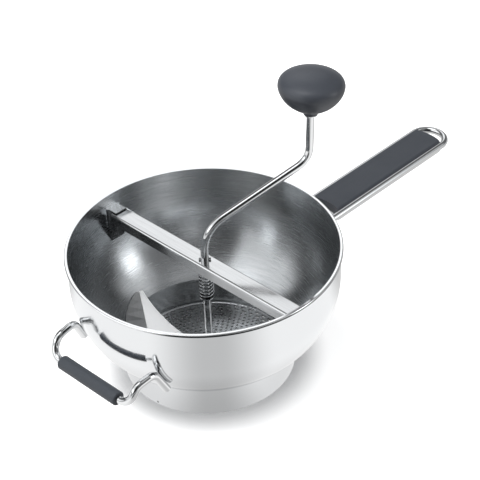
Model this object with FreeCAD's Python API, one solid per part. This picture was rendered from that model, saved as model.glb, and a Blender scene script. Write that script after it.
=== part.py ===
import FreeCAD, Part
import math
import os

from FreeCAD import Vector

# Hand-cranked food mill, millimetres, +Z up.
# Origin: on the bowl's axis, in the plane that the neck ring stands on.
# +X runs along the long handle, +Y along the crossbar.

# ---------------------------------------------------------------- clearances
RUN_FIT = 0.06         # radial play of a turning or sliding shaft in its hole
SEAT_GAP = 0.05        # between pieces that are welded, pressed or screwed together
REST_GAP = 0.3         # between a moving piece and the face that it rests or runs on

# ---------------------------------------------------------------------- bowl
BOWL_SHEET = 0.8       # wall of the spun bowl
WALL_R = 118.0         # outer radius of the upright wall
RIM_H = 125.0          # height of the rim
LIP_W = 2.0            # how far the rolled lip stands out past the wall
LIP_H = 2.6            # height of the rolled lip
WALL_H = 29.0          # height of the upright wall, up to the rim
BELLY_H = 90.0         # height of the ellipse that the curved wall follows
NECK_R = 77.0          # outer radius of the neck ring
LEDGE_W = 3.2          # inward ledge at the foot of the neck, which holds the disc

# ---------------------------------------------------------------- sieve disc
DISC_T = 0.8
DISC_PLAY = 0.4        # radial play of the disc in the neck
BEAD_IN = 2.2          # from the disc's edge to the middle of its stiffening bead
BEAD_W = 2.0
BEAD_H = 0.8
SLOT_ROWS = 2          # outer rows of long holes
SLOT_L = 4.6
SLOT_W = 1.7
HOLE_D = 2.1
HOLE_PITCH = 4.7       # between holes along a row, edge gap of the long ones included
ROW_PITCH = 4.1        # between rows
HOLE_R_MIN = 14.0      # innermost row of holes
EYELET_R = 9.0         # flange of the pivot eyelet in the middle of the disc
EYELET_NECK = 1.6      # wall of the eyelet's tube
EYELET_LIFT = 1.4      # how far the eyelet stands above the disc
FOOT_GAP = 0.3         # lowest piece inside the neck, above the standing plane

# ----------------------------------------------------------- crossbar and hooks
BAR_DEPTH = 15.5       # from the rim down to the bar's top face
BAR_W = 18.0
BAR_H = 10.2
BAR_T = 1.2
BAR_ROUND = 2.4        # outer radius of the bar's long edges
BAR_END_GAP = 6.2      # between the bar's end and the bowl wall
BAR_SLOT_IN = 2.3      # web between the bar's end and its slot
BAR_SLOT_W = 3.4
BAR_PRESS = 4.0        # how far the bar can be pushed down off its hooks
HOOK_T = 1.2
HOOK_PLAY = 0.3        # between the hook's cheeks and the sides of the bar
HOOK_DROP = 33.0       # from the top of the hook down to its foot
TONGUE_STEP = 1.5      # how much narrower the flap and tongue are, on each side
TONGUE_L = 2.5         # how far the tongue reaches below the flap
HOOK_CHEEK = 14.5      # length of the side cheeks along the bar
SLOT_PLAY = 0.9        # sideways play of the tongue in the slot

# --------------------------------------------------------------------- crank
ROD_D = 7.0
ELBOW_RISE = 31.1      # from the bar's top to where the shaft would meet the sloping arm
KNEE_RISE = 43.4       # from there to where the arm would meet the knob's spindle
THROW = 101.0          # from the shaft to that knee
CRANK_ANGLE = -22.0    # direction of the arm at rest, from +X
SPINDLE_LEAN = 2.0     # outward lean of the knob's spindle
ELBOW_BEND = 31.0
KNEE_BEND = 18.7
EAR_D = 2.2            # swaged ears that stop the shaft in the bar and carry the spring
EAR_OUT = 1.8          # how far each ear stands out of the rod
EAR_ANGLE = -48.0

# -------------------------------------------------------------------- spring
SPRING_OD = 13.0
SPRING_WIRE = 1.3
SPRING_TURNS = 9.5
SPRING_DEPTH = 39.5    # from the bar's top down to the underside of the spring
WASHER_T = 1.0

# --------------------------------------------------------------------- blade
BLADE_T = 1.2
BLADE_GAP = 1.4        # between the blade and the bowl wall
BLADE_SLOPE = 0.473    # rise of the pressing face per millimetre ahead of its rear edge
REAR_ANGLE = 150.0     # direction of the wing's rear edge, which runs on the disc
CREASE_END_R = 52.5    # where the crease meets the rear edge
FRONT_ANGLE = 96.4     # direction of the crease's raised end
CREASE_GAP = 2.74      # between the crease's raised end and the bowl wall
TIP_ANGLE = 93.3       # direction of the wing's raised front corner
TIP_IN = 1.7           # how much nearer the axis than the crease's end it lies
TIP_CURVE = 0.9        # how far the rounded tip stands out past its chord
FRONT_BOW = 5.2        # how far the front edge bows towards the rear
FLANGE_TIP_Z = 34.7    # height of the wing's outer edge at its front corner
FLANGE_END_Z = 24.0    # and at its rear corner
FLANGE_STEPS = 8
HUB_R = 7.0
HUB_H = 11.0
HUB_RING_R = 14.0      # flat ring of the blade around the hub
WING_START_R = 11.0
PIN_D = 3.0

# ---------------------------------------------------------------------- knob
KNOB_R = 28.5
KNOB_RISE = 73.2       # from the spindle's foot up to the knob's widest line
KNOB_CROWN = 11.2      # from the widest line up to the top
KNOB_DEPTH = 27.6      # from the widest line down to the foot
KNOB_FOOT_R = 6.2
BUSH_T = 0.9
BUSH_TOP = 4.0         # top of the bush above the widest line
SPINDLE_TOP = 2.0      # top of the spindle above the widest line
GROOVE_DEPTH = 0.8
GROOVE_W = 2.0
GROOVE_Z = -4.0        # middle of the groove, from the widest line
KNOB_WASHER_R = 5.6

# --------------------------------------------------------------- long handle
WIRE_D = 7.0
HANDLE_DEPTH = 45.0    # from the rim down to the wires' middle
HANDLE_HALF = 17.2     # from the middle to each wire
HANDLE_REACH = 216.0   # from the bowl's wall to the outer end of the loop
FOOT_DROP = 20.0       # height of each wire foot down the bowl wall
FOOT_BEND = 8.0
INSERT_OUT = 39.5      # from the bowl's wall to the insert
LOOP_GAP = 1.2         # from the insert's corners to the bend of the loop
INSERT_CROWN = 5.5     # height of the insert's face above the wires' middle
INSERT_IN = 0.8        # from the middle of each wire to the insert's upper edge
INSERT_BEVEL = 2.0     # width of the sloping strip along each side
BEVEL_DROP = 1.6
INSERT_BOW = 3.2       # how far the insert's two ends bow away from the bowl
TRAY_T = 1.0           # pressed steel tray under the insert
TRAY_H = 3.3           # height of the tray, up to the underside of the wires
SCREW_D = 3.0
SCREW_HEAD_D = 5.6
SCREW_HEAD_H = 1.3
SCREW_TIP = 1.5        # plastic left above the screw's tip
SCREW_END_GAP = 22.0   # from the insert's ends to the outer screws
SCREWS = 3

# ------------------------------------------------------------- helper handle
HELPER_DEPTH = 44.5    # from the rim down to the wire's knee at the wall
HELPER_HALF = 47.0     # from the middle to each wire, beside the grip
HELPER_SPREAD = 2.0    # how much wider apart the wires are at the wall
FOOT_SPREAD = 2.5      # and how much wider again at the ends of their feet
HELPER_REACH = 20.0    # from the bowl's wall to the grip's axis
GRIP_DEPTH = 17.5      # from that knee down to the grip's axis
SHOULDER_REACH = 11.5  # from the bowl's wall to where the wire turns from level to steep
SHOULDER_DEPTH = 2.5   # and its drop from the knee
SHOULDER_BEND = 10.0
HELPER_BEND = 11.0
HELPER_DROP = 22.0     # height of each wire foot down the bowl wall
GRIP_D = 12.6
GRIP_END = 1.2         # from each end of the grip to the bend of the wire
GRIP_ROUND = 1.5

# ------------------------------------------------------------- derived values
BELLY_Z = RIM_H - WALL_H
BAR_TOP = RIM_H - BAR_DEPTH
SPRING_FOOT = BAR_TOP - SPRING_DEPTH
HANDLE_Z = RIM_H - HANDLE_DEPTH
HELPER_Z = RIM_H - HELPER_DEPTH
LIP_R = WALL_R + LIP_W
INNER_WALL_R = WALL_R - BOWL_SHEET
INNER_DROP = BELLY_H - BOWL_SHEET
INNER_NECK_R = NECK_R - BOWL_SHEET
DISC_R = INNER_NECK_R - DISC_PLAY
BEAD_R = DISC_R - BEAD_IN
DISC_TOP = BOWL_SHEET + DISC_T
BAR_UNDER = BAR_TOP - BAR_T
BAR_HALF = INNER_WALL_R - BAR_END_GAP
HOOK_W = BAR_W - 2 * (BAR_T + HOOK_PLAY)
TONGUE_W = HOOK_W - 2 * TONGUE_STEP
ELBOW_Z = BAR_TOP + ELBOW_RISE
KNEE_Z = ELBOW_Z + KNEE_RISE
KNOB_EQUATOR_Z = KNEE_Z + KNOB_RISE
ROD_R = ROD_D / 2
WIRE_R = WIRE_D / 2
BLADE_Z = DISC_TOP + REST_GAP
EYELET_TOP = DISC_TOP + EYELET_LIFT
RING_Z = EYELET_TOP + REST_GAP
TRAY_BASE_Z = HANDLE_Z - WIRE_R - SEAT_GAP - TRAY_H
HANDLE_END = WALL_R + HANDLE_REACH
LOOP_X = HANDLE_END - WIRE_R - HANDLE_HALF
INSERT_START = WALL_R + INSERT_OUT
INSERT_END = LOOP_X - LOOP_GAP + INSERT_BOW
INSERT_HALF = HANDLE_HALF - INSERT_IN
GRIP_X = WALL_R + HELPER_REACH
HELPER_GRIP_Z = HELPER_Z - GRIP_DEPTH
GRIP_L = 2 * (HELPER_HALF - HELPER_BEND - GRIP_END)
KNOB_FOOT_Z = KNOB_EQUATOR_Z - KNOB_DEPTH
BUSH_R = ROD_R + RUN_FIT + BUSH_T
FULL_TURN = 360.0

UP = Vector(0, 0, 1)
DOWN = Vector(0, 0, -1)
ORIGIN = Vector(0, 0, 0)


# ------------------------------------------------------------ shared helpers
def polar(radius, angle, z):
    """Point at a radius and an angle in degrees about the bowl's axis."""
    turn = math.radians(angle)
    return Vector(radius * math.cos(turn), radius * math.sin(turn), z)


def section(radius, z):
    """Point of a profile in the XZ plane."""
    return Vector(radius, 0, z)


def line(start, end):
    return Part.LineSegment(start, end).toShape()


def arc(start, middle, end):
    return Part.Arc(start, middle, end).toShape()


def spline(points):
    curve = Part.BSplineCurve()
    curve.interpolate(points)
    return curve.toShape()


def outline(points):
    """Closed straight-sided face."""
    return Part.Face(Part.makePolygon(points + [points[0]]))


def spin(edges_or_points, angle=FULL_TURN):
    """Solid of revolution about Z from a closed profile in the XZ plane."""
    if isinstance(edges_or_points[0], Vector):
        face = outline(edges_or_points)
    else:
        face = Part.Face(Part.Wire(edges_or_points))
    return face.revolve(ORIGIN, UP, angle)


def tube(outer, inner, z_low, z_high):
    """Ring with flat ends about Z."""
    return spin([section(inner, z_low), section(outer, z_low),
                 section(outer, z_high), section(inner, z_high)])


def block(x0, x1, y0, y1, z0, z1):
    return Part.makeBox(x1 - x0, y1 - y0, z1 - z0, Vector(x0, y0, z0))


def cross_rod(radius, length, z, angle):
    """Round rod through the bowl's axis, level, at an angle from +X."""
    return Part.makeCylinder(radius, length, polar(-length / 2, angle, z), polar(1, angle, 0))


def turned(shape, angle):
    copy = shape.copy()
    copy.rotate(ORIGIN, UP, angle)
    return copy


def rounded_path(points, bends):
    """Straight runs through the points, joined by tangent arcs of the given radii."""
    edges = []
    start = points[0]
    for index, bend in enumerate(bends):
        corner = points[index + 1]
        back = (points[index] - corner).normalize()
        ahead = (points[index + 2] - corner).normalize()
        half = back.getAngle(ahead) / 2
        reach = bend / math.tan(half)
        bisector = (back + ahead).normalize()
        middle = corner + bisector * (bend / math.sin(half) - bend)
        edges.append(line(start, corner + back * reach))
        edges.append(arc(corner + back * reach, middle, corner + ahead * reach))
        start = corner + ahead * reach
    edges.append(line(start, points[-1]))
    return Part.Wire(edges)


def round_bar(path, radius):
    """Round bar along a path."""
    first = path.Edges[0]
    heading = first.tangentAt(first.FirstParameter)
    profile = Part.Wire(Part.Circle(first.valueAt(first.FirstParameter), heading, radius).toShape())
    return path.makePipeShell([profile], True, True)


def belly_curve(half_axis, drop, foot_r):
    """Quarter-ellipse stretch of the wall, from the neck up to the belly."""
    foot = math.acos(foot_r / half_axis)
    steps = 8
    angles = [foot * (1 - step / steps) for step in range(steps + 1)]
    return [section(half_axis * math.cos(a), BELLY_Z - drop * math.sin(a)) for a in angles]


def wall_radius(z, half_axis, drop, foot_r):
    """Radius of the bowl's outer or inner face at a height."""
    if z >= BELLY_Z:
        return half_axis
    return max(foot_r, half_axis * math.sqrt(1 - ((BELLY_Z - z) / drop) ** 2))


def inner_radius(z):
    return wall_radius(z, INNER_WALL_R, INNER_DROP, INNER_NECK_R)


def outer_radius(z):
    return wall_radius(z, WALL_R, BELLY_H, NECK_R)


def outer_slope(z):
    """How much the bowl's outer face widens per millimetre of height."""
    depth = max(0, (BELLY_Z - z) / BELLY_H)
    if outer_radius(z) <= NECK_R:
        return 0
    return WALL_R / BELLY_H * depth / math.sqrt(1 - depth ** 2)


# ---------------------------------------------------------------------- bowl
def bowl_shell():
    """Spun bowl: rolled lip, upright wall, curved belly, neck ring and ledge."""
    outer = belly_curve(WALL_R, BELLY_H, NECK_R)
    inner = belly_curve(INNER_WALL_R, INNER_DROP, INNER_NECK_R)
    ledge_r = INNER_NECK_R - LEDGE_W
    lip_low = RIM_H - LIP_H
    curl = LIP_W / 2
    slant = curl * (1 - math.sqrt(0.5))
    edges = [
        line(section(ledge_r, 0), section(NECK_R, 0)),
        line(section(NECK_R, 0), outer[0]),
        spline(outer),
        line(outer[-1], section(WALL_R, lip_low)),
        line(section(WALL_R, lip_low), section(LIP_R - curl, lip_low)),
        arc(section(LIP_R - curl, lip_low), section(LIP_R - slant, lip_low + slant),
            section(LIP_R, lip_low + curl)),
        line(section(LIP_R, lip_low + curl), section(LIP_R, RIM_H - curl)),
        arc(section(LIP_R, RIM_H - curl), section(LIP_R - slant, RIM_H - slant),
            section(LIP_R - curl, RIM_H)),
        line(section(LIP_R - curl, RIM_H), section(INNER_WALL_R, RIM_H)),
        line(section(INNER_WALL_R, RIM_H), inner[-1]),
        spline(inner),
        line(inner[0], section(INNER_NECK_R, BOWL_SHEET)),
        line(section(INNER_NECK_R, BOWL_SHEET), section(ledge_r, BOWL_SHEET)),
        line(section(ledge_r, BOWL_SHEET), section(ledge_r, 0)),
    ]
    return Part.Face(Part.Wire(Part.__sortEdges__(edges))).revolve(ORIGIN, UP, FULL_TURN)


# ---------------------------------------------------------------- sieve disc
def slot_wire(radius, angle):
    """Long hole that follows its row, with round ends."""
    half = math.degrees((SLOT_L - SLOT_W) / 2 / radius)
    inner = radius - SLOT_W / 2
    outer = radius + SLOT_W / 2
    a, b = angle - half, angle + half
    cap = math.degrees(SLOT_W / 2 / radius)
    return Part.Wire([
        arc(polar(inner, a, 0), polar(inner, angle, 0), polar(inner, b, 0)),
        arc(polar(inner, b, 0), polar(radius, b + cap, 0), polar(outer, b, 0)),
        arc(polar(outer, b, 0), polar(outer, angle, 0), polar(outer, a, 0)),
        arc(polar(outer, a, 0), polar(radius, a - cap, 0), polar(inner, a, 0)),
    ])


def row_radii():
    """Radii of the rows of holes, from the bead inwards."""
    first = BEAD_R - BEAD_W - SLOT_W / 2
    count = int((first - HOLE_R_MIN) / ROW_PITCH) + 1
    return [first - row * ROW_PITCH for row in range(count)]


def hole_wires():
    """All holes of the disc: long ones in the outer rows, round ones inside."""
    wires = []
    for row, radius in enumerate(row_radii()):
        pitch = HOLE_PITCH + SLOT_L - SLOT_W if row < SLOT_ROWS else HOLE_PITCH
        count = int(2 * math.pi * radius / pitch)
        for index in range(count):
            angle = FULL_TURN * (index + 0.5 * (row % 2)) / count
            if row < SLOT_ROWS:
                wires.append(slot_wire(radius, angle))
            else:
                circle = Part.Circle(polar(radius, angle, 0), DOWN, HOLE_D / 2)
                wires.append(Part.Wire(circle.toShape()))
    return wires


def sieve_disc():
    """Perforated plate with a stiffening bead, lying on the neck's ledge."""
    field_r = BEAD_R - BEAD_W * 0.75
    rim = Part.Wire(Part.Circle(ORIGIN, UP, field_r).toShape())
    centre_r = ROD_R + RUN_FIT + EYELET_NECK + SEAT_GAP
    centre = Part.Wire(Part.Circle(ORIGIN, DOWN, centre_r).toShape())
    field = Part.Face([rim, centre] + hole_wires()).extrude(Vector(0, 0, DISC_T))
    field.translate(Vector(0, 0, BOWL_SHEET))
    half = BEAD_W / 2
    edges = [
        line(section(field_r, BOWL_SHEET), section(DISC_R, BOWL_SHEET)),
        line(section(DISC_R, BOWL_SHEET), section(DISC_R, DISC_TOP)),
        line(section(DISC_R, DISC_TOP), section(BEAD_R + half, DISC_TOP)),
        arc(section(BEAD_R + half, DISC_TOP), section(BEAD_R, DISC_TOP + BEAD_H),
            section(BEAD_R - half, DISC_TOP)),
        line(section(BEAD_R - half, DISC_TOP), section(field_r, DISC_TOP)),
        line(section(field_r, DISC_TOP), section(field_r, BOWL_SHEET)),
    ]
    return field.fuse(spin(edges))


def disc_eyelet():
    """Flanged eyelet in the disc's middle, in which the shaft's foot turns."""
    bore = ROD_R + RUN_FIT
    neck = bore + EYELET_NECK
    return spin([
        section(bore, FOOT_GAP), section(EYELET_R, FOOT_GAP),
        section(EYELET_R, BOWL_SHEET - SEAT_GAP), section(neck, BOWL_SHEET - SEAT_GAP),
        section(neck, DISC_TOP + SEAT_GAP), section(EYELET_R, DISC_TOP + SEAT_GAP),
        section(EYELET_R, EYELET_TOP), section(bore, EYELET_TOP),
    ])


# ---------------------------------------------------------- crossbar, hooks
def crossbar():
    """Inverted channel with the shaft's hole and a slot at each end."""
    half = BAR_W / 2
    inner = half - BAR_T
    low = BAR_TOP - BAR_H
    turn = BAR_ROUND * (1 - math.sqrt(0.5))
    ends = -BAR_HALF

    def at(x, z):
        return Vector(x, ends, z)

    edges = [
        line(at(-half, low), at(-half, BAR_TOP - BAR_ROUND)),
        arc(at(-half, BAR_TOP - BAR_ROUND), at(-half + turn, BAR_TOP - turn),
            at(-half + BAR_ROUND, BAR_TOP)),
        line(at(-half + BAR_ROUND, BAR_TOP), at(half - BAR_ROUND, BAR_TOP)),
        arc(at(half - BAR_ROUND, BAR_TOP), at(half - turn, BAR_TOP - turn),
            at(half, BAR_TOP - BAR_ROUND)),
        line(at(half, BAR_TOP - BAR_ROUND), at(half, low)),
        line(at(half, low), at(inner, low)),
        line(at(inner, low), at(inner, BAR_UNDER)),
        line(at(inner, BAR_UNDER), at(-inner, BAR_UNDER)),
        line(at(-inner, BAR_UNDER), at(-inner, low)),
        line(at(-inner, low), at(-half, low)),
    ]
    bar = Part.Face(Part.Wire(edges)).extrude(Vector(0, 2 * BAR_HALF, 0))
    hole = Part.makeCylinder(ROD_R + RUN_FIT, BAR_H, Vector(0, 0, BAR_TOP - BAR_H / 2))
    slot_half = TONGUE_W / 2 + SLOT_PLAY
    slot_out = BAR_HALF - BAR_SLOT_IN
    slot = block(-slot_half, slot_half, slot_out - BAR_SLOT_W, slot_out,
                 BAR_UNDER - BAR_T, BAR_TOP + BAR_T)
    return bar.cut(hole.fuse([slot, turned(slot, FULL_TURN / 2)]))


def bar_hook():
    """Bent sheet hook on the bowl wall at the +Y end of the bar."""
    top = BAR_TOP + REST_GAP + HOOK_T
    foot = top - HOOK_DROP
    half = HOOK_W / 2
    steps = 6
    heights = [foot + (top - foot) * step / steps for step in range(steps + 1)]
    outer = [section(inner_radius(z) - SEAT_GAP, z) for z in heights]
    inner = [section(point.x - HOOK_T, point.z) for point in outer]
    spread = math.degrees(HOOK_W / INNER_WALL_R)
    plate = turned(spin(outer + inner[::-1], spread), FULL_TURN / 4 - spread / 2)
    face_y = outer[-1].x
    slot_middle = BAR_HALF - BAR_SLOT_IN - BAR_SLOT_W / 2
    tongue_in = slot_middle - HOOK_T / 2
    side = TONGUE_W / 2
    flap = block(-side, side, tongue_in, face_y - HOOK_T / 2, top - HOOK_T, top)
    tongue = block(-side, side, tongue_in, tongue_in + HOOK_T, top - HOOK_T - TONGUE_L, top)
    cheek_top = BAR_UNDER - BAR_PRESS - REST_GAP
    wall_y = outer[0].x - HOOK_T / 2
    profile = outline([
        Vector(-half, wall_y, foot), Vector(-half, wall_y, cheek_top),
        Vector(-half, face_y - HOOK_CHEEK, cheek_top),
    ])
    cheek = profile.extrude(Vector(HOOK_T, 0, 0))
    other = cheek.copy()
    other.translate(Vector(HOOK_W - HOOK_T, 0, 0))
    return plate.fuse([flap, tongue, cheek, other])


# --------------------------------------------------------------------- crank
def on_spindle(shape):
    """Move a shape modelled upright on the bowl's axis to the leaning spindle."""
    placed = shape.copy()
    placed.rotate(Vector(0, 0, KNEE_Z), Vector(0, 1, 0), SPINDLE_LEAN)
    placed.translate(Vector(THROW, 0, 0))
    placed.rotate(ORIGIN, UP, CRANK_ANGLE)
    return placed


def crank_rod():
    """Bent rod: shaft, sloping arm and the knob's spindle, with swaged ears."""
    spindle = on_spindle(line(Vector(0, 0, KNEE_Z), Vector(0, 0, KNOB_EQUATOR_Z + SPINDLE_TOP)))
    knee, top = [vertex.Point for vertex in spindle.Vertexes]
    path = rounded_path([Vector(0, 0, FOOT_GAP), Vector(0, 0, ELBOW_Z), knee, top],
                        [ELBOW_BEND, KNEE_BEND])
    rod = round_bar(path, ROD_R)
    groove_z = KNOB_EQUATOR_Z + GROOVE_Z - GROOVE_W / 2
    groove = on_spindle(tube(ROD_D, ROD_R - GROOVE_DEPTH, groove_z, groove_z + GROOVE_W))
    ears = [cross_rod(EAR_D / 2, ROD_D + 2 * EAR_OUT, z, EAR_ANGLE) for z in ear_heights()]
    hub_middle = RING_Z + HUB_H / 2
    pin_hole = cross_rod(PIN_D / 2 + SEAT_GAP, ROD_D * 2, hub_middle, REAR_ANGLE)
    return rod.fuse(ears).cut(groove.fuse(pin_hole))


def ear_heights():
    """Upper ears rest above the bar; lower ears carry the spring's washer."""
    upper = BAR_TOP + REST_GAP + EAR_D / 2
    lower = SPRING_FOOT - WASHER_T - SEAT_GAP * 2 - EAR_D / 2
    return [upper, lower]


def washer(z):
    """Spring washer on the shaft, with its underside at z."""
    return tube(SPRING_OD / 2, ROD_R + RUN_FIT, z, z + WASHER_T)


def spring_washer_upper():
    return washer(BAR_UNDER - SEAT_GAP - WASHER_T)


def spring_washer_lower():
    return washer(SPRING_FOOT - SEAT_GAP - WASHER_T)


def tension_spring():
    """Coil spring between the two washers."""
    mean_r = (SPRING_OD - SPRING_WIRE) / 2
    top = BAR_UNDER - SEAT_GAP * 2 - WASHER_T
    height = top - SPRING_FOOT - SPRING_WIRE
    coil = Part.makeHelix(height / SPRING_TURNS, height, mean_r)
    wire = Part.Wire(Part.Circle(Vector(mean_r, 0, 0), Vector(0, 1, 0), SPRING_WIRE / 2).toShape())
    spring = Part.Wire(coil).makePipeShell([wire], True, True)
    spring.translate(Vector(0, 0, SPRING_FOOT + SPRING_WIRE / 2))
    return spring


# --------------------------------------------------------------------- blade
def rise_direction():
    """Level direction in which the pressing face rises, away from its rear edge."""
    return polar(1, REAR_ANGLE - FULL_TURN / 4, 0)


def on_face(point):
    """Point of the pressing face's underside above or below a point."""
    ahead = point.dot(rise_direction())
    return Vector(point.x, point.y, BLADE_Z + BLADE_SLOPE * ahead)


def crease_end():
    """Raised end of the crease, seen from above."""
    return polar(inner_radius(FLANGE_TIP_Z) - CREASE_GAP, FRONT_ANGLE, 0)


def wing_face():
    """Sloping pressing face of one wing, cut from a tilted sheet by its plan."""
    crease = crease_end()
    tip = polar(crease.Length - TIP_IN, TIP_ANGLE, 0)
    root_front = polar(WING_START_R, FRONT_ANGLE, 0)
    root_rear = polar(WING_START_R, REAR_ANGLE, 0)
    bowed = (root_front + tip) * 0.5 + polar(FRONT_BOW, FRONT_ANGLE + FULL_TURN / 4, 0)
    bulged = (tip + crease) * 0.5 + polar(TIP_CURVE, TIP_ANGLE - FULL_TURN / 8, 0)
    rear = polar(CREASE_END_R, REAR_ANGLE, 0)
    plan = Part.Face(Part.Wire([
        arc(root_front, bowed, tip),
        arc(tip, bulged, crease),
        line(crease, rear),
        line(rear, root_rear),
        line(root_rear, root_front),
    ]))
    prism = plan.extrude(Vector(0, 0, FLANGE_TIP_Z * 2))
    reach = 2 * NECK_R
    side = polar(reach, REAR_ANGLE, 0)
    low = on_face(rise_direction() * -reach)
    high = on_face(rise_direction() * reach)
    sheet = outline([low - side, low + side, high + side, high - side])
    normal = (side.cross(high - low)).normalize()
    if normal.z < 0:
        normal = normal * -1
    return prism.common(sheet.extrude(normal * BLADE_T))


def wing_flange():
    """Outer strip of one wing, from the crease out to the bowl wall."""
    tip = on_face(crease_end())
    rear = on_face(polar(CREASE_END_R, REAR_ANGLE, 0))
    inward = rise_direction().cross(UP).normalize()
    if inward.dot(tip) > 0:
        inward = inward * -1
    overlap = (ORIGIN - rear).normalize() * BLADE_T
    thick = Vector(0, 0, BLADE_T * 1.2)
    crease, edge = [], []
    for step in range(FLANGE_STEPS + 1):
        share = step / FLANGE_STEPS
        point = tip + (rear - tip) * share
        crease.append(point + Vector(overlap.x, overlap.y, 0))
        z = FLANGE_TIP_Z + (FLANGE_END_Z - FLANGE_TIP_Z) * share
        angle = FRONT_ANGLE + 1 + (REAR_ANGLE - FRONT_ANGLE - 1) * share
        edge.append(polar(inner_radius(z) - BLADE_GAP, angle, z))
    return strip_solid(crease, edge, thick)


def strip_solid(inner, outer, thick):
    """Sheet between two rows of points, thickened upwards, as flat triangles."""
    faces = []

    def triangle(a, b, c):
        faces.append(Part.Face(Part.makePolygon([a, b, c, a])))

    def quad(a, b, c, d):
        triangle(a, b, c)
        triangle(a, c, d)

    last = len(inner) - 1
    for i in range(last):
        quad(inner[i], outer[i], outer[i + 1], inner[i + 1])
        quad(inner[i] + thick, inner[i + 1] + thick, outer[i + 1] + thick, outer[i] + thick)
        quad(inner[i], inner[i + 1], inner[i + 1] + thick, inner[i] + thick)
        quad(outer[i], outer[i] + thick, outer[i + 1] + thick, outer[i + 1])
    for i in (0, last):
        quad(inner[i], inner[i] + thick, outer[i] + thick, outer[i])
    solid = Part.Solid(Part.Shell(faces))
    if solid.Volume < 0:
        solid.reverse()
    return solid


def blade():
    """Two-winged pressing blade, stamped from one sheet."""
    ring = tube(HUB_RING_R, HUB_R + SEAT_GAP, RING_Z, RING_Z + BLADE_T)
    wing = wing_face().fuse(wing_flange())
    return ring.fuse([wing, turned(wing, FULL_TURN / 2)])


def blade_hub():
    """Turned sleeve between the shaft and the blade, with a hole for its pin."""
    sleeve = tube(HUB_R, ROD_R + SEAT_GAP, RING_Z, RING_Z + HUB_H)
    return sleeve.cut(cross_rod(PIN_D / 2 + SEAT_GAP, HUB_R * 3, RING_Z + HUB_H / 2, REAR_ANGLE))


def hub_pin():
    return cross_rod(PIN_D / 2, HUB_R * 2 - SEAT_GAP, RING_Z + HUB_H / 2, REAR_ANGLE)


# ---------------------------------------------------------------------- knob
def knob():
    """Egg-shaped knob with a blind bore for its bush."""
    z = KNOB_EQUATOR_Z
    bore = BUSH_R + SEAT_GAP
    bore_top = z + BUSH_TOP + SEAT_GAP
    under = [
        section(KNOB_FOOT_R, KNOB_FOOT_Z),
        section(KNOB_R * 0.27, z - KNOB_DEPTH * 0.87),
        section(KNOB_R * 0.42, z - KNOB_DEPTH * 0.77),
        section(KNOB_R * 0.66, z - KNOB_DEPTH * 0.61),
        section(KNOB_R * 0.87, z - KNOB_DEPTH * 0.38),
        section(KNOB_R * 0.975, z - KNOB_DEPTH * 0.16),
        section(KNOB_R, z),
        section(KNOB_R * 0.95, z + KNOB_CROWN * 0.36),
        section(KNOB_R * 0.76, z + KNOB_CROWN * 0.68),
        section(KNOB_R * 0.42, z + KNOB_CROWN * 0.92),
        section(0, z + KNOB_CROWN),
    ]
    edges = [
        spline(under),
        line(under[-1], section(0, bore_top)),
        line(section(0, bore_top), section(bore, bore_top)),
        line(section(bore, bore_top), section(bore, KNOB_FOOT_Z)),
        line(section(bore, KNOB_FOOT_Z), under[0]),
    ]
    return on_spindle(spin(edges))


def knob_bush():
    """Sleeve pressed into the knob; its inner bead snaps into the spindle's groove."""
    inner = ROD_R + RUN_FIT
    bead = inner - GROOVE_DEPTH + REST_GAP
    middle = KNOB_EQUATOR_Z + GROOVE_Z
    half = GROOVE_W / 2 - REST_GAP
    return on_spindle(spin([
        section(inner, KNOB_FOOT_Z + SEAT_GAP), section(BUSH_R, KNOB_FOOT_Z + SEAT_GAP),
        section(BUSH_R, KNOB_EQUATOR_Z + BUSH_TOP), section(inner, KNOB_EQUATOR_Z + BUSH_TOP),
        section(inner, middle + half), section(bead, middle + half / 2),
        section(bead, middle - half / 2), section(inner, middle - half),
    ]))


def knob_washer():
    """Thin washer on the spindle, under the knob."""
    low = KNOB_FOOT_Z - REST_GAP - WASHER_T
    return on_spindle(tube(KNOB_WASHER_R, ROD_R + RUN_FIT, low, low + WASHER_T))


# ------------------------------------------------------------------- handles
def wire_reach(y, z):
    """Distance from the bowl's axis, along X, of a wire that touches the wall."""
    stand_off = (WIRE_R + SEAT_GAP) * math.sqrt(1 + outer_slope(z) ** 2)
    return math.sqrt((outer_radius(z) + stand_off) ** 2 - y * y)


def wall_foot(y_foot, y_knee, z_top, drop):
    """End and knee of a straight wire foot that clears the bulge of the wall."""
    z_foot = z_top - drop
    foot_x, knee_x = wire_reach(y_foot, z_foot), wire_reach(y_knee, z_top)
    bulge = wire_reach((y_foot + y_knee) / 2, (z_foot + z_top) / 2) - (foot_x + knee_x) / 2
    clear = max(0, bulge)
    return Vector(foot_x + clear, y_foot, z_foot), Vector(knee_x + clear, y_knee, z_top)


def long_handle_wire():
    """Wire loop of the long handle, with both feet down the bowl wall."""
    foot, knee = wall_foot(HANDLE_HALF, HANDLE_HALF, HANDLE_Z, FOOT_DROP)
    near_half = Vector(0, 2 * HANDLE_HALF, 0)
    start = rounded_path([foot, knee, Vector(LOOP_X, HANDLE_HALF, HANDLE_Z)], [FOOT_BEND])
    loop = arc(Vector(LOOP_X, HANDLE_HALF, HANDLE_Z), Vector(HANDLE_END - WIRE_R, 0, HANDLE_Z),
               Vector(LOOP_X, -HANDLE_HALF, HANDLE_Z))
    finish = rounded_path([Vector(LOOP_X, -HANDLE_HALF, HANDLE_Z), knee - near_half, foot - near_half],
                          [FOOT_BEND])
    return round_bar(Part.Wire(start.Edges + [loop] + finish.Edges), WIRE_R)


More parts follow.
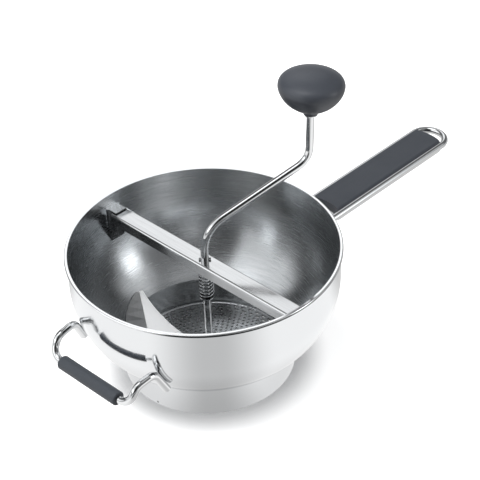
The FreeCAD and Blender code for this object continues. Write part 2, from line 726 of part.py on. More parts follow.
def insert_plan(half, end_gap, z):
    """Outline of the insert seen from above, with its two curved ends."""
    near = INSERT_START + end_gap
    far = INSERT_END - end_gap
    return Part.Face(Part.Wire([
        line(Vector(near, half, z), Vector(far - INSERT_BOW, half, z)),
        arc(Vector(far - INSERT_BOW, half, z), Vector(far, 0, z), Vector(far - INSERT_BOW, -half, z)),
        line(Vector(far - INSERT_BOW, -half, z), Vector(near, -half, z)),
        arc(Vector(near, -half, z), Vector(near + INSERT_BOW, 0, z), Vector(near, half, z)),
    ]))


def insert_section(x):
    """Section of the insert: flat top, sloping strips, and hollows that fit the wires."""
    top = HANDLE_Z + INSERT_CROWN
    foot = TRAY_BASE_Z + TRAY_T + SEAT_GAP
    hollow = WIRE_R + SEAT_GAP
    over = math.sqrt(hollow ** 2 - (HANDLE_HALF - INSERT_HALF) ** 2)
    under = hollow * math.sqrt(0.5)
    core_half = HANDLE_HALF - under
    right = [
        line(Vector(x, 0, top), Vector(x, INSERT_HALF - INSERT_BEVEL, top)),
        line(Vector(x, INSERT_HALF - INSERT_BEVEL, top), Vector(x, INSERT_HALF, top - BEVEL_DROP)),
        line(Vector(x, INSERT_HALF, top - BEVEL_DROP), Vector(x, INSERT_HALF, HANDLE_Z + over)),
        arc(Vector(x, INSERT_HALF, HANDLE_Z + over), Vector(x, HANDLE_HALF - hollow, HANDLE_Z),
            Vector(x, core_half, HANDLE_Z - under)),
        line(Vector(x, core_half, HANDLE_Z - under), Vector(x, core_half, foot)),
        line(Vector(x, core_half, foot), Vector(x, 0, foot)),
    ]
    left = [edge.mirror(ORIGIN, Vector(0, 1, 0)) for edge in right]
    return Part.Face(Part.Wire(Part.__sortEdges__(right + left)))


def handle_insert():
    """Plastic insert that fills the space between the wires, over the tray."""
    shoulder_z = TRAY_BASE_Z + TRAY_H + SEAT_GAP
    upper = insert_plan(HANDLE_HALF, 0, shoulder_z).extrude(Vector(0, 0, TRAY_H * 4))
    plug = insert_plan(HANDLE_HALF, 2 * TRAY_T, TRAY_BASE_Z).extrude(Vector(0, 0, TRAY_H * 2))
    length = INSERT_END - INSERT_START
    bar = insert_section(INSERT_START - INSERT_BOW).extrude(Vector(length + 2 * INSERT_BOW, 0, 0))
    return bar.common(upper.fuse(plug)).cut(placed_on_screws(screw_profile(SEAT_GAP)))


def handle_tray():
    """Pressed steel tray that closes the insert from below, against the wires."""
    half = HANDLE_HALF
    outer = insert_plan(half, 0, TRAY_BASE_Z).extrude(Vector(0, 0, TRAY_H))
    inner = insert_plan(half - TRAY_T, TRAY_T, TRAY_BASE_Z + TRAY_T).extrude(Vector(0, 0, TRAY_H))
    return outer.cut([inner] + placed_on_screws(screw_profile(SEAT_GAP)))


def screw_places():
    first = INSERT_START + SCREW_END_GAP
    last = INSERT_END - SCREW_END_GAP
    return [Vector(first + (last - first) * i / (SCREWS - 1), 0, 0) for i in range(SCREWS)]


def screw_profile(play):
    """Countersunk screw from below, or its hole when play is added."""
    tip = HANDLE_Z + INSERT_CROWN - SCREW_TIP
    shank = SCREW_D / 2 + play
    head = SCREW_HEAD_D / 2 + play
    return spin([section(0, TRAY_BASE_Z), section(head, TRAY_BASE_Z),
                 section(shank, TRAY_BASE_Z + SCREW_HEAD_H + play),
                 section(shank, tip + play), section(0, tip + play)])


def placed_on_screws(shape):
    copies = []
    for place in screw_places():
        copy = shape.copy()
        copy.translate(place)
        copies.append(copy)
    return copies


def handle_screws():
    return Part.makeCompound(placed_on_screws(screw_profile(0)))


def helper_handle_wire():
    """Wire bow of the helper handle, with both feet down the bowl wall."""
    wall_half = HELPER_HALF + HELPER_SPREAD
    foot, knee = wall_foot(wall_half + FOOT_SPREAD, wall_half, HELPER_Z, HELPER_DROP)
    shoulder = Vector(WALL_R + SHOULDER_REACH, HELPER_HALF + HELPER_SPREAD / 2,
                      HELPER_Z - SHOULDER_DEPTH)
    corner = Vector(GRIP_X, HELPER_HALF, HELPER_GRIP_Z)
    half = [foot, knee, shoulder, corner]
    left = [Vector(-point.x, point.y, point.z) for point in half]
    right = [Vector(-point.x, -point.y, point.z) for point in reversed(half)]
    bends = [FOOT_BEND, SHOULDER_BEND, HELPER_BEND]
    return round_bar(rounded_path(left + right, bends + bends[::-1]), WIRE_R)


def helper_grip():
    """Soft tube on the straight part of the helper handle."""
    half = GRIP_L / 2
    outer = GRIP_D / 2
    inner = WIRE_R + SEAT_GAP
    turn = GRIP_ROUND * (1 - math.sqrt(0.5))
    edges = [
        line(section(inner, -half), section(outer - GRIP_ROUND, -half)),
        arc(section(outer - GRIP_ROUND, -half), section(outer - turn, -half + turn),
            section(outer, -half + GRIP_ROUND)),
        line(section(outer, -half + GRIP_ROUND), section(outer, half - GRIP_ROUND)),
        arc(section(outer, half - GRIP_ROUND), section(outer - turn, half - turn),
            section(outer - GRIP_ROUND, half)),
        line(section(outer - GRIP_ROUND, half), section(inner, half)),
        line(section(inner, half), section(inner, -half)),
    ]
    grip = spin(edges)
    grip.rotate(ORIGIN, Vector(1, 0, 0), FULL_TURN / 4)
    grip.translate(Vector(-GRIP_X, 0, HELPER_GRIP_Z))
    return grip


# -------------------------------------------------------------------- output
NODES = {
    "bowl_shell": bowl_shell,
    "bar_hook_left": bar_hook,
    "bar_hook_right": lambda: turned(bar_hook(), FULL_TURN / 2),
    "sieve_disc": sieve_disc,
    "disc_eyelet": disc_eyelet,
    "long_handle_wire": long_handle_wire,
    "handle_insert": handle_insert,
    "handle_tray": handle_tray,
    "handle_screws": handle_screws,
    "helper_handle_wire": helper_handle_wire,
    "helper_grip": helper_grip,
    "crossbar": crossbar,
    "spring_washer_upper": spring_washer_upper,
    "tension_spring": tension_spring,
    "spring_washer_lower": spring_washer_lower,
    "crank_rod": crank_rod,
    "blade": blade,
    "blade_hub": blade_hub,
    "hub_pin": hub_pin,
    "knob": knob,
    "knob_bush": knob_bush,
    "knob_washer": knob_washer,
}

os.makedirs("parts", exist_ok=True)
for name, make in NODES.items():
    shape = make()
    shape.exportStep("parts/" + name + ".step")
    print(name, "solids", len(shape.Solids), "volume", round(shape.Volume))
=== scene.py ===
import math
import bpy
from mathutils import Matrix, Vector


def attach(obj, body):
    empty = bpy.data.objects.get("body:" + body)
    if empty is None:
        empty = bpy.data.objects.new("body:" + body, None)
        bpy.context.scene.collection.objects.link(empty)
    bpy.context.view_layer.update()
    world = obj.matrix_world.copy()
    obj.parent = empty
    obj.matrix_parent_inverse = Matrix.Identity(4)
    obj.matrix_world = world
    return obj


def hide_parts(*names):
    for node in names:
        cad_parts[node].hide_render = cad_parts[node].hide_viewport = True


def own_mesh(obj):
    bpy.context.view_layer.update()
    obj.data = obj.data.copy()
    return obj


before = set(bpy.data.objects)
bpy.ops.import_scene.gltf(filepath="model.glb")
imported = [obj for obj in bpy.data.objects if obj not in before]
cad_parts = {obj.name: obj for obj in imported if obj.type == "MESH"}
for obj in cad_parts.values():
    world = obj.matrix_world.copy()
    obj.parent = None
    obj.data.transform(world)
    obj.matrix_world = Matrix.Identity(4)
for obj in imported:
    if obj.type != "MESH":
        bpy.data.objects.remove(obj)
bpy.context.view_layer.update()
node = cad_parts


# Camera. It stands in front of the helper handle's end, a little left of the mill, and looks down
# over the rim into the bowl, along a line between the two handles.
camera_place = Vector((-0.7194, -0.7657, 0.9171))
camera_heading = math.radians(41.35)
camera_pitch = math.radians(37.23)
frame_width = 480
focal_pixels = 1526.2
centre_column = 319.9
centre_row = 247.8
lens = bpy.data.cameras.new("camera")
lens.sensor_fit = "HORIZONTAL"
lens.sensor_width = 36.0
lens.lens = focal_pixels / frame_width * lens.sensor_width
lens.shift_x = 0.5 - centre_column / frame_width
lens.shift_y = centre_row / frame_width - 0.5
lens.clip_start = 0.05
lens.clip_end = 20
camera = bpy.data.objects.new("camera", lens)
looking = Vector((math.cos(camera_pitch) * math.cos(camera_heading),
                  math.cos(camera_pitch) * math.sin(camera_heading), -math.sin(camera_pitch)))
camera_turn = looking.to_track_quat("-Z", "Y").to_matrix().to_4x4()
camera.matrix_world = Matrix.Translation(camera_place) @ camera_turn
bpy.context.scene.collection.objects.link(camera)
bpy.context.scene.camera = camera
bpy.context.scene.view_settings.view_transform = "Standard"


# Studio surround. Polished steel shows what stands round it: white sheets on the left, on the right,
# behind and overhead, a pale sweep low down all round, and the dark room in front.
def worked(tree, kind, *values):
    """Math node between sockets or plain numbers."""
    step = tree.nodes.new("ShaderNodeMath")
    step.operation = kind
    for slot, value in enumerate(values):
        if isinstance(value, (int, float)):
            step.inputs[slot].default_value = value
        else:
            tree.links.new(value, step.inputs[slot])
    return step.outputs[0]


def ranged(tree, value, low, high, to_low, to_high, soft=False):
    """A value's range brought to another range, in a straight line or a soft step."""
    step = tree.nodes.new("ShaderNodeMapRange")
    if soft:
        step.interpolation_type = "SMOOTHSTEP"
    tree.links.new(value, step.inputs["Value"])
    for name, number in (("From Min", low), ("From Max", high), ("To Min", to_low), ("To Max", to_high)):
        step.inputs[name].default_value = number
    return step.outputs["Result"]


def split(tree, vector):
    """The three parts of a vector."""
    parts = tree.nodes.new("ShaderNodeSeparateXYZ")
    tree.links.new(vector, parts.inputs[0])
    return parts.outputs


def chosen(tree, share, first, second):
    """First shader, or the second where the share is 1."""
    mix = tree.nodes.new("ShaderNodeMixShader")
    tree.links.new(share, mix.inputs["Fac"])
    tree.links.new(first, mix.inputs[1])
    tree.links.new(second, mix.inputs[2])
    return mix.outputs[0]


world = bpy.data.worlds.new("studio")
bpy.context.scene.world = world
world.use_nodes = True
sky = world.node_tree
sky.nodes.clear()
east, north, rise = split(sky, sky.nodes.new("ShaderNodeTexCoord").outputs["Generated"])
elevation = worked(sky, "ARCSINE", rise)
upright_edge = 6


def faded(angle, low, high, to_low, to_high):
    """Soft step between two angles in degrees."""
    return ranged(sky, angle, math.radians(low), math.radians(high), to_low, to_high, soft=True)


def panel(azimuth, half, edge, low, high, strength, outside=0):
    """Sheet of the sky between two heights, with soft edges all round; all angles are in degrees."""
    turn = math.radians(azimuth)
    ahead = worked(sky, "MULTIPLY_ADD", east, math.cos(turn), worked(sky, "MULTIPLY", north, math.sin(turn)))
    aside = worked(sky, "MULTIPLY_ADD", north, math.cos(turn), worked(sky, "MULTIPLY", east, -math.sin(turn)))
    off = worked(sky, "ABSOLUTE", worked(sky, "ARCTAN2", aside, ahead))
    wide = faded(off, half - edge, half + edge, 1, 0)
    tall = worked(sky, "MULTIPLY", faded(elevation, low - upright_edge, low + upright_edge, 0, 1),
                  faded(elevation, high - upright_edge, high + upright_edge, 1, 0))
    return worked(sky, "MULTIPLY_ADD", worked(sky, "MULTIPLY", wide, tall), strength - outside, outside)


pale_sweep = faded(elevation, 2, 9, 0.90, 0.15)
left_wall = panel(azimuth=152, half=39, edge=7, low=14, high=62, strength=1.00)
left_strip = panel(azimuth=162, half=30, edge=7, low=12, high=36, strength=1.75)
right_strip = panel(azimuth=-58, half=9, edge=6, low=5, high=31, strength=3.60)
right_wall = panel(azimuth=-48, half=22, edge=9, low=24, high=72, strength=0.66)
right_ceiling = panel(azimuth=-80, half=45, edge=15, low=56, high=80, strength=0.42)
back_wall = panel(azimuth=52, half=19, edge=8, low=22, high=50, strength=1.15)
dark_room = panel(azimuth=-140, half=25, edge=8, low=3, high=57, strength=0.20, outside=1)
round_sheet_at = Vector((-0.196, 0.170, math.sin(math.radians(75))))
towards_sheet = worked(sky, "MULTIPLY_ADD", rise, round_sheet_at.z, worked(
    sky, "MULTIPLY_ADD", east, round_sheet_at.x, worked(sky, "MULTIPLY", north, round_sheet_at.y)))
round_sheet = faded(worked(sky, "ARCCOSINE", towards_sheet), 13, 22, 1.9, 0)
room_light = pale_sweep
for sheet in (left_wall, left_strip, right_strip, right_wall, right_ceiling, back_wall, round_sheet):
    room_light = worked(sky, "MAXIMUM", room_light, sheet)
room_light = worked(sky, "MULTIPLY", room_light, dark_room)
room = sky.nodes.new("ShaderNodeBackground")
room.inputs["Color"].default_value = (0.97, 0.985, 1.0, 1)
sky.links.new(room_light, room.inputs["Strength"])
white = sky.nodes.new("ShaderNodeBackground")
white.inputs["Color"].default_value = (1, 1, 1, 1)
straight_on = sky.nodes.new("ShaderNodeLightPath").outputs["Is Camera Ray"]
surround = chosen(sky, straight_on, room.outputs[0], white.outputs[0])
sky.links.new(surround, sky.nodes.new("ShaderNodeOutputWorld").inputs["Surface"])


# Table. A wide white sheet that keeps the mill's shadow; its glow to the eye is weaker close to the neck,
# a painted shadow that keeps the real one tight. In the polished steel it shows as a grey wedge towards the
# front, where the dark room lies over it, dark further out, darker near the neck as painted shadow, and it
# falls off behind the mill.
table_size = 12
neck_inside = 0.076
neck_sheet = (0.0755, 0.0768)
room_darkness = 0.88
room_front = math.radians(-132)
room_back = math.radians(41.35)
bpy.ops.object.select_all(action="DESELECT")
bpy.ops.mesh.primitive_plane_add(size=table_size, location=(0, 0, 0))
table = bpy.context.active_object
table.name = "table_top"
paint = bpy.data.materials.new("white_table")
paint.use_nodes = True
tree = paint.node_tree
tree.nodes.clear()
across, along = split(tree, tree.nodes.new("ShaderNodeTexCoord").outputs["Object"])[:2]
along_squared = worked(tree, "MULTIPLY", along, along)
away = worked(tree, "SQRT", worked(tree, "MULTIPLY_ADD", across, across, along_squared))
off_front = worked(tree, "ABSOLUTE", worked(tree, "ADD", worked(tree, "ARCTAN2", along, across), -room_front))
depth = worked(tree, "MULTIPLY_ADD", across, math.cos(room_back), worked(
    tree, "MULTIPLY", along, math.sin(room_back)))
wedge = ranged(tree, off_front, math.radians(4), math.radians(44), 0.66, 1.14, soft=True)
dark_sector = ranged(tree, off_front, math.radians(18), math.radians(34), 1, 0, soft=True)
further_out = ranged(tree, away, 0.34, 0.60, 0, 1, soft=True)
in_dark_room = worked(tree, "MULTIPLY", dark_sector, further_out)
open_wedge = worked(tree, "MULTIPLY", wedge, worked(tree, "MULTIPLY_ADD", in_dark_room, -room_darkness, 1))
behind = ranged(tree, depth, 0.03, 0.11, 1, 0.60, soft=True)
# Painted shadow: the table as the steel shows it is darker close to the neck.
painted_shadow_near_neck = ranged(tree, away, neck_inside, 0.15, 0.80, 1, soft=True)
open_table = ranged(tree, away, *neck_sheet, 0, 1, soft=True)
in_steel = tree.nodes.new("ShaderNodeEmission")
tree.links.new(worked(tree, "MULTIPLY", worked(tree, "MULTIPLY", open_wedge, behind),
                      worked(tree, "MULTIPLY", painted_shadow_near_neck, open_table)), in_steel.inputs["Strength"])
rays = tree.nodes.new("ShaderNodeLightPath").outputs
sheet_white = 0.87
less_for_bounces = 0.50
white_sheet = tree.nodes.new("ShaderNodeBsdfDiffuse")
tree.links.new(worked(tree, "MULTIPLY_ADD", rays["Is Diffuse Ray"], -less_for_bounces, sheet_white),
               white_sheet.inputs["Color"])
# Painted shadow: the table's glow to the eye is weaker close to the neck, so the shadow stays tight.
painted_shadow_fade = ranged(tree, away, neck_inside, 0.112, 0.04, 0.62, soft=True)
to_eye = tree.nodes.new("ShaderNodeEmission")
tree.links.new(worked(tree, "MULTIPLY", rays["Is Camera Ray"], painted_shadow_fade), to_eye.inputs["Strength"])
lit = tree.nodes.new("ShaderNodeAddShader")
tree.links.new(white_sheet.outputs[0], lit.inputs[0])
tree.links.new(to_eye.outputs[0], lit.inputs[1])
table_look = chosen(tree, rays["Is Glossy Ray"], lit.outputs[0], in_steel.outputs[0])
tree.links.new(table_look, tree.nodes.new("ShaderNodeOutputMaterial").inputs["Surface"])
table.data.materials.append(paint)


# Lamps. Two soft lamps light the plastic and the table; the polished steel doesn't mirror them. The
# larger one hangs nearly overhead, a little behind on the left, so that the shadow stays close.
lamp_size = 1.3
for name, spot, aim, power in (
        ("lamp_over", (-0.42, 0.42, 2.2), (0, 0, 0), 38),
        ("lamp_front", (-1.5, -0.9, 1.6), (0, 0, 0.1), 10)):
    lamp = bpy.data.lights.new(name, "AREA")
    lamp.shape = "SQUARE"
    lamp.size = lamp_size
    lamp.energy = power
    holder = bpy.data.objects.new(name, lamp)
    lamp_turn = (Vector(aim) - Vector(spot)).to_track_quat("-Z", "Y").to_matrix().to_4x4()
    holder.matrix_world = Matrix.Translation(spot) @ lamp_turn
    holder.visible_glossy = False
    bpy.context.scene.collection.objects.link(holder)


# Bowl: one sheet of stainless steel, spun. A belt brushed the inside in rings; the inside of the neck is
# painted darker, as painted shade. The outside is polished bright, with one small dark spot painted low on
# the neck. The lip's top is painted brighter, as a painted highlight, and a dark band painted under the lip
# at the front is painted shade.
def new_finish(name):
    """Material with its node tree and its shader."""
    stuff = bpy.data.materials.new(name)
    stuff.use_nodes = True
    return stuff, stuff.node_tree, stuff.node_tree.nodes["Principled BSDF"]


def position(tree):
    """Place on the object, in metres."""
    return tree.nodes.new("ShaderNodeTexCoord").outputs["Object"]


def facing(tree, kind="Normal"):
    """The three parts of the direction that the surface faces."""
    return split(tree, tree.nodes.new("ShaderNodeNewGeometry").outputs[kind])


def grain(tree, where, scale, detail=3):
    """Noise on a vector."""
    noise = tree.nodes.new("ShaderNodeTexNoise")
    noise.inputs["Scale"].default_value = scale
    noise.inputs["Detail"].default_value = detail
    tree.links.new(where, noise.inputs["Vector"])
    return noise.outputs["Fac"]


# Most of the noise lies between these two values.
grain_span = (0.3, 0.7)


def mixed(tree, share, first, second, kind="RGBA"):
    """What lies between two colours, or two numbers, by a share."""
    mix = tree.nodes.new("ShaderNodeMix")
    mix.data_type = kind
    tree.links.new(share, mix.inputs["Factor"])
    for side, value in (("A", first), ("B", second)):
        if isinstance(value, bpy.types.NodeSocket):
            tree.links.new(value, mix.inputs[side])
        else:
            mix.inputs[side].default_value = value
    return mix.outputs["Result"]


def scaled(tree, colour, factor):
    """A colour made darker or lighter."""
    step = tree.nodes.new("ShaderNodeVectorMath")
    step.operation = "SCALE"
    tree.links.new(colour, step.inputs[0])
    tree.links.new(factor, step.inputs["Scale"])
    return step.outputs["Vector"]


def relief(tree, shader, height, strength, depth):
    """Fine relief on the surface, at most depth metres deep."""
    bump = tree.nodes.new("ShaderNodeBump")
    bump.inputs["Distance"].default_value = depth
    bump.inputs["Strength"].default_value = strength
    tree.links.new(height, bump.inputs["Height"])
    tree.links.new(bump.outputs["Normal"], shader.inputs["Normal"])


def dress(name, stuff):
    """Give a CAD node its finish."""
    mesh = node[name].data
    mesh.materials.clear()
    mesh.materials.append(stuff)


neck_top = (0.026, 0.032)
neck_darkness = 0.35
wall_top = (0.1221, 0.1223)
lip_from = (0.1242, 0.1245)
lip_front = math.radians(-83)
polished_colour = (0.75, 0.76, 0.77, 1)
brushed_colour = (0.64, 0.665, 0.68, 1)
painted_lip_shade_colour = (0.02, 0.022, 0.024, 1)
painted_lip_highlight_colour = (0.95, 0.955, 0.96, 1)
dark_spot_colour = (0.12, 0.125, 0.13, 1)
dark_spot_place = (-0.0762, -0.0110, 0.0022)
dark_spot_reach = (0.0006, 0.0012)
bowl_steel, tree, shader = new_finish("spun_bowl_steel")
shader.inputs["Metallic"].default_value = 1.0
shader.inputs["Anisotropic"].default_value = 0.78
shader.inputs["Anisotropic Rotation"].default_value = 0.25
place = position(tree)
x, y, z = split(tree, place)
face_x, face_y = facing(tree)[:2]
outward = worked(tree, "ADD", worked(tree, "MULTIPLY", x, face_x), worked(tree, "MULTIPLY", y, face_y))
inside = ranged(tree, outward, -0.002, -0.001, 1, 0)
outside = worked(tree, "SUBTRACT", 1, inside)
radius = worked(tree, "SQRT", worked(tree, "MULTIPLY_ADD", x, x, worked(tree, "MULTIPLY", y, y)))
angle = worked(tree, "ARCTAN2", y, x)
stretch_round = 0.004
lean_inwards = 0.7
rings = tree.nodes.new("ShaderNodeCombineXYZ")
tree.links.new(worked(tree, "MULTIPLY", angle, stretch_round), rings.inputs["X"])
tree.links.new(worked(tree, "ADD", z, worked(tree, "MULTIPLY", radius, lean_inwards)), rings.inputs["Y"])
fine_lines = grain(tree, rings.outputs[0], 1500, detail=2)
broad_lines = grain(tree, rings.outputs[0], 520, detail=2)
relief(tree, shader, broad_lines, strength=0.004, depth=0.0006)
brushed = worked(tree, "MULTIPLY", worked(tree, "ADD", fine_lines, broad_lines), 0.5)
rough_inside = ranged(tree, brushed, 0.35, 0.65, 0.20, 0.285)
rough_outside = ranged(tree, grain(tree, place, 30), 0.35, 0.65, 0.06, 0.09)
tree.links.new(mixed(tree, inside, rough_outside, rough_inside, kind="FLOAT"), shader.inputs["Roughness"])
in_lines = worked(tree, "MULTIPLY", inside, ranged(tree, brushed, 0.36, 0.64, 0, 1))
skin = mixed(tree, in_lines, polished_colour, brushed_colour)
# Painted shade: the inside of the neck is made darker.
painted_neck_shade = ranged(tree, z, *neck_top, neck_darkness, 0)
skin = scaled(tree, skin, worked(tree, "SUBTRACT", 1, worked(tree, "MULTIPLY", inside, painted_neck_shade)))
# Painted shade: a dark band on the outside just under the lip, round the front.
above_wall = ranged(tree, z, *wall_top, 0, 1)
on_lip = ranged(tree, z, *lip_from, 0, 1)
under_lip = worked(tree, "MULTIPLY", above_wall, worked(tree, "SUBTRACT", 1, on_lip))
off_front = worked(tree, "ABSOLUTE", worked(tree, "ADD", angle, -lip_front))
at_front = ranged(tree, off_front, math.radians(66), math.radians(78), 1, 0)
painted_lip_shade = worked(tree, "MULTIPLY", worked(tree, "MULTIPLY", under_lip, at_front), outside)
skin = mixed(tree, painted_lip_shade, skin, painted_lip_shade_colour)
# Painted highlight: the top of the lip, outside, is made nearly white.
skin = mixed(tree, worked(tree, "MULTIPLY", on_lip, outside), skin, painted_lip_highlight_colour)
# A small dark spot painted low on the neck.
from_dark_spot = tree.nodes.new("ShaderNodeVectorMath")
from_dark_spot.operation = "DISTANCE"
tree.links.new(place, from_dark_spot.inputs[0])
from_dark_spot.inputs[1].default_value = dark_spot_place
dark_spot = ranged(tree, from_dark_spot.outputs["Value"], *dark_spot_reach, 1, 0)
tree.links.new(mixed(tree, dark_spot, skin, dark_spot_colour), shader.inputs["Base Color"])
round_axis = tree.nodes.new("ShaderNodeTangent")
round_axis.direction_type = "RADIAL"
round_axis.axis = "Z"
tree.links.new(round_axis.outputs[0], shader.inputs["Tangent"])
dress("bowl_shell", bowl_steel)


# Bar hooks: bent from steel strip and spot-welded inside the wall. The strip is left as rolled, with
# faint lines along its length; the upright faces are painted dark and the tops light, as painted shade.
def strip_steel(name, colour, stretch, rough, strength):
    """Rolled steel with lines along the axis whose stretch is smallest."""
    stuff, tree, shader = new_finish(name)
    shader.inputs["Metallic"].default_value = 1.0
    along = tree.nodes.new("ShaderNodeMapping")
    along.inputs["Scale"].default_value = stretch
    place = position(tree)
    tree.links.new(place, along.inputs["Vector"])
    lines = grain(tree, along.outputs[0], 900, detail=4)
    tree.links.new(ranged(tree, grain(tree, place, 60), *grain_span, *rough), shader.inputs["Roughness"])
    darker = (*[part * 0.9 for part in colour], 1)
    skin = mixed(tree, ranged(tree, lines, *grain_span, 0, 1), darker, (*colour, 1))
    tree.links.new(skin, shader.inputs["Base Color"])
    relief(tree, shader, lines, strength, depth=0.0003)
    return stuff, tree, shader, skin


hook_steel, tree, shader, skin = strip_steel(
    "hook_strip_steel", colour=(0.80, 0.81, 0.82), stretch=(1, 1, 0.05), rough=(0.20, 0.30), strength=0.04)
# Painted shade: faces that turn upwards are lighter, upright faces dark.
painted_face_shade = ranged(tree, facing(tree)["Z"], 0.4, 0.8, 0.20, 0.80)
tree.links.new(scaled(tree, skin, painted_face_shade), shader.inputs["Base Color"])
dress("bar_hook_left", hook_steel)
dress("bar_hook_right", hook_steel)


# Crossbar: pressed channel of bright rolled strip, with the rolling lines along the bar. Its sides are
# painted lighter and half matt towards one end, as painted light, and dark towards the other, as painted
# shade.
bar_steel, tree, shader, skin = strip_steel(
    "bar_strip_steel", colour=(0.74, 0.745, 0.75), stretch=(1, 0.03, 1), rough=(0.10, 0.16), strength=0.02)
y = split(tree, position(tree))["Y"]
# Painted light and shade on the bar's sides: lighter and half matt towards one end, dark towards the other.
side = ranged(tree, facing(tree)["Z"], 0.3, 0.6, 1, 0)
painted_side_shade = mixed(tree, side, 1.0, ranged(tree, y, -0.03, 0.05, 1.25, 0.30), kind="FLOAT")
tree.links.new(scaled(tree, skin, painted_side_shade), shader.inputs["Base Color"])
matt_side = worked(tree, "MULTIPLY", side, ranged(tree, y, -0.02, 0.02, 1, 0))
tree.links.new(worked(tree, "MULTIPLY_ADD", matt_side, -0.65, 1), shader.inputs["Metallic"])
dress("crossbar", bar_steel)


# Sieve disc: punched plate of stainless steel. Punching leaves the field between the holes a little
# wavy and dull, and mottled where the tools have pressed it.
disc_steel, tree, shader = new_finish("punched_disc_steel")
shader.inputs["Metallic"].default_value = 1.0
place = position(tree)
waves = grain(tree, place, 160)
dimples = grain(tree, place, 700, detail=2)
tree.links.new(ranged(tree, waves, *grain_span, 0.24, 0.34), shader.inputs["Roughness"])
skin = mixed(tree, ranged(tree, dimples, *grain_span, 0, 1), (0.55, 0.56, 0.57, 1), (0.63, 0.64, 0.65, 1))
tree.links.new(skin, shader.inputs["Base Color"])
relief(tree, shader, worked(tree, "ADD", dimples, waves), strength=0.08, depth=0.0004)
dress("sieve_disc", disc_steel)


# Blade: one stamped sheet of stainless steel, riding on the crank. The faces that press the food down
# are painted nearly white and half matt, as a painted highlight; the flanges behind them keep the grey skin
# of the press.
blade_steel, tree, shader, skin = strip_steel(
    "blade_sheet_steel", colour=(0.74, 0.745, 0.75), stretch=(0.5, 0.5, 0.5), rough=(0.34, 0.42),
    strength=0.02)
rough_flange = shader.inputs["Roughness"].links[0].from_socket
# Painted highlight: the faces that press the food are made nearly white and half matt.
painted_highlight_colour = (0.96, 0.965, 0.97, 1)
pressing_slope = Vector((0.2138, 0.3703, 0.904))
face_x, face_y, face_z = facing(tree, "True Normal")
lean = worked(tree, "ABSOLUTE", worked(tree, "MULTIPLY_ADD", face_x, pressing_slope.x, worked(
    tree, "MULTIPLY", face_y, pressing_slope.y)))
along_slope = worked(tree, "MULTIPLY_ADD", face_z, pressing_slope.z, lean)
highlit_face = ranged(tree, along_slope, 0.985, 0.99, 0, 1)
tree.links.new(mixed(tree, highlit_face, skin, painted_highlight_colour), shader.inputs["Base Color"])
tree.links.new(mixed(tree, highlit_face, rough_flange, 0.5, kind="FLOAT"), shader.inputs["Roughness"])
tree.links.new(worked(tree, "MULTIPLY_ADD", highlit_face, -0.5, 1), shader.inputs["Metallic"])
dress("blade", blade_steel)


# Crank rod and the turned parts on it: drawn rod, electropolished after bending and turning. Only faint
# drawing marks and a slight orange-peel are left. The disc's eyelet, in which the rod turns, is the same.
def rod_steel(name, colour, rough, strength):
    """Drawn and polished steel with a slight orange-peel."""
    stuff, tree, shader = new_finish(name)
    shader.inputs["Metallic"].default_value = 1.0
    place = position(tree)
    clouds = grain(tree, place, 90)
    tree.links.new(ranged(tree, clouds, *grain_span, *rough), shader.inputs["Roughness"])
    skin = mixed(tree, clouds, (*[part * 0.94 for part in colour], 1), (*colour, 1))
    tree.links.new(skin, shader.inputs["Base Color"])
    relief(tree, shader, grain(tree, place, 420, detail=2), strength, depth=0.0002)
    return stuff, tree, shader, skin


crank_steel = rod_steel("crank_rod_steel", colour=(0.76, 0.765, 0.77), rough=(0.03, 0.06), strength=0.01)[0]
for name in ("crank_rod", "blade_hub", "hub_pin", "knob_washer", "knob_bush", "disc_eyelet"):
    dress(name, crank_steel)


# Handle wires and the insert's screws: drawn steel, a little brighter than the crank. The wires are
# bent, welded to the wall by their feet and electropolished with it.
wire_steel = rod_steel("handle_wire_steel", colour=(0.78, 0.785, 0.79), rough=(0.03, 0.06), strength=0.01)[0]
for name in ("long_handle_wire", "helper_handle_wire", "handle_screws"):
    dress(name, wire_steel)


# Spring and its washers: the wire is painted dark where it faces up or down, between its turns, as painted
# shade, and brighter where it faces sideways, as a painted highlight. The spring is held between the bar and
# the shaft, and shortens as that rises.
spring_steel, tree, shader, skin = rod_steel(
    "spring_wire_steel", colour=(0.74, 0.75, 0.76), rough=(0.08, 0.12), strength=0.02)
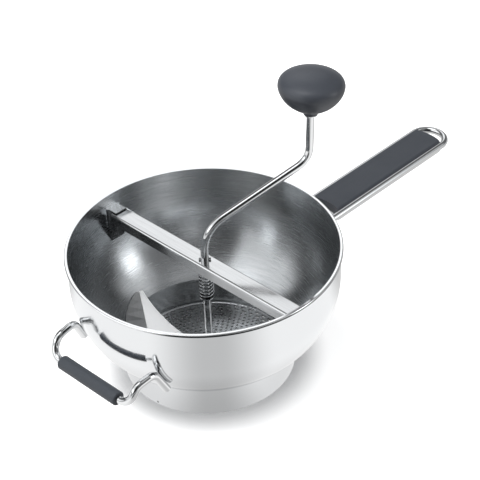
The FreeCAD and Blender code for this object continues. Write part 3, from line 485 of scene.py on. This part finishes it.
# Painted shade between the turns and a painted highlight on the outside, by the way the wire faces.
between_turns = worked(tree, "ABSOLUTE", facing(tree)["Z"])
painted_coil_shade = ranged(tree, between_turns, 0.45, 0.80, 1.25, 0.05)
tree.links.new(scaled(tree, skin, painted_coil_shade), shader.inputs["Base Color"])
dress("spring_washer_upper", spring_steel)
dress("spring_washer_lower", spring_steel)
bpy.ops.object.select_all(action="DESELECT")
spring = bpy.data.objects.new("coil_spring", node["tension_spring"].data.copy())
bpy.context.scene.collection.objects.link(spring)
bpy.context.view_layer.objects.active = spring
spring.select_set(True)
bpy.ops.object.mode_set(mode="EDIT")
bpy.ops.mesh.select_all(action="SELECT")
bpy.ops.mesh.remove_doubles(threshold=0.000001)
bpy.ops.object.mode_set(mode="OBJECT")
bpy.ops.object.shade_smooth_by_angle(angle=math.radians(40))
spring.data.materials.clear()
spring.data.materials.append(spring_steel)
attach(spring, "bar")
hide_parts("tension_spring")
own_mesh(spring)


# Tray: pressed sheet under the long handle's insert, screwed up against it. The lines from rolling run
# along the handle.
tray_steel = strip_steel(
    "tray_sheet_steel", colour=(0.86, 0.865, 0.87), stretch=(0.03, 1, 1), rough=(0.14, 0.22),
    strength=0.03)[0]
dress("handle_tray", tray_steel)


# Knob: moulded in dark blue-grey plastic, in a tool with a fine spark-eroded grain that takes the shine
# off. It turns on the spindle on its bush.
def moulded(name, colour, pitch, rough, strength):
    """Plastic with the fine grain of its mould."""
    stuff, tree, shader = new_finish(name)
    place = position(tree)
    pits = grain(tree, place, pitch, detail=2)
    tree.links.new(ranged(tree, grain(tree, place, 45), *grain_span, *rough), shader.inputs["Roughness"])
    darker, lighter = [(*[part * share for part in colour], 1) for share in (0.86, 1.08)]
    skin = mixed(tree, ranged(tree, pits, 0.25, 0.75, 0, 1), darker, lighter)
    tree.links.new(skin, shader.inputs["Base Color"])
    relief(tree, shader, pits, strength, depth=0.0003)
    return stuff


dress("knob", moulded(
    "knob_plastic", colour=(0.049, 0.054, 0.065), pitch=2600, rough=(0.34, 0.42), strength=0.12))


# Insert of the long handle: one moulding of plastic like the knob's, a little darker and duller. It lies
# between the wires and is screwed to its tray from below.
dress("handle_insert", moulded(
    "insert_plastic", colour=(0.042, 0.047, 0.057), pitch=2600, rough=(0.42, 0.50), strength=0.12))


# Grip of the helper handle: a tube of softer plastic, pushed over the wire. Its grain is coarser, and
# it is the dullest of the three.
dress("helper_grip", moulded(
    "grip_soft_plastic", colour=(0.048, 0.054, 0.064), pitch=1900, rough=(0.46, 0.56), strength=0.10))
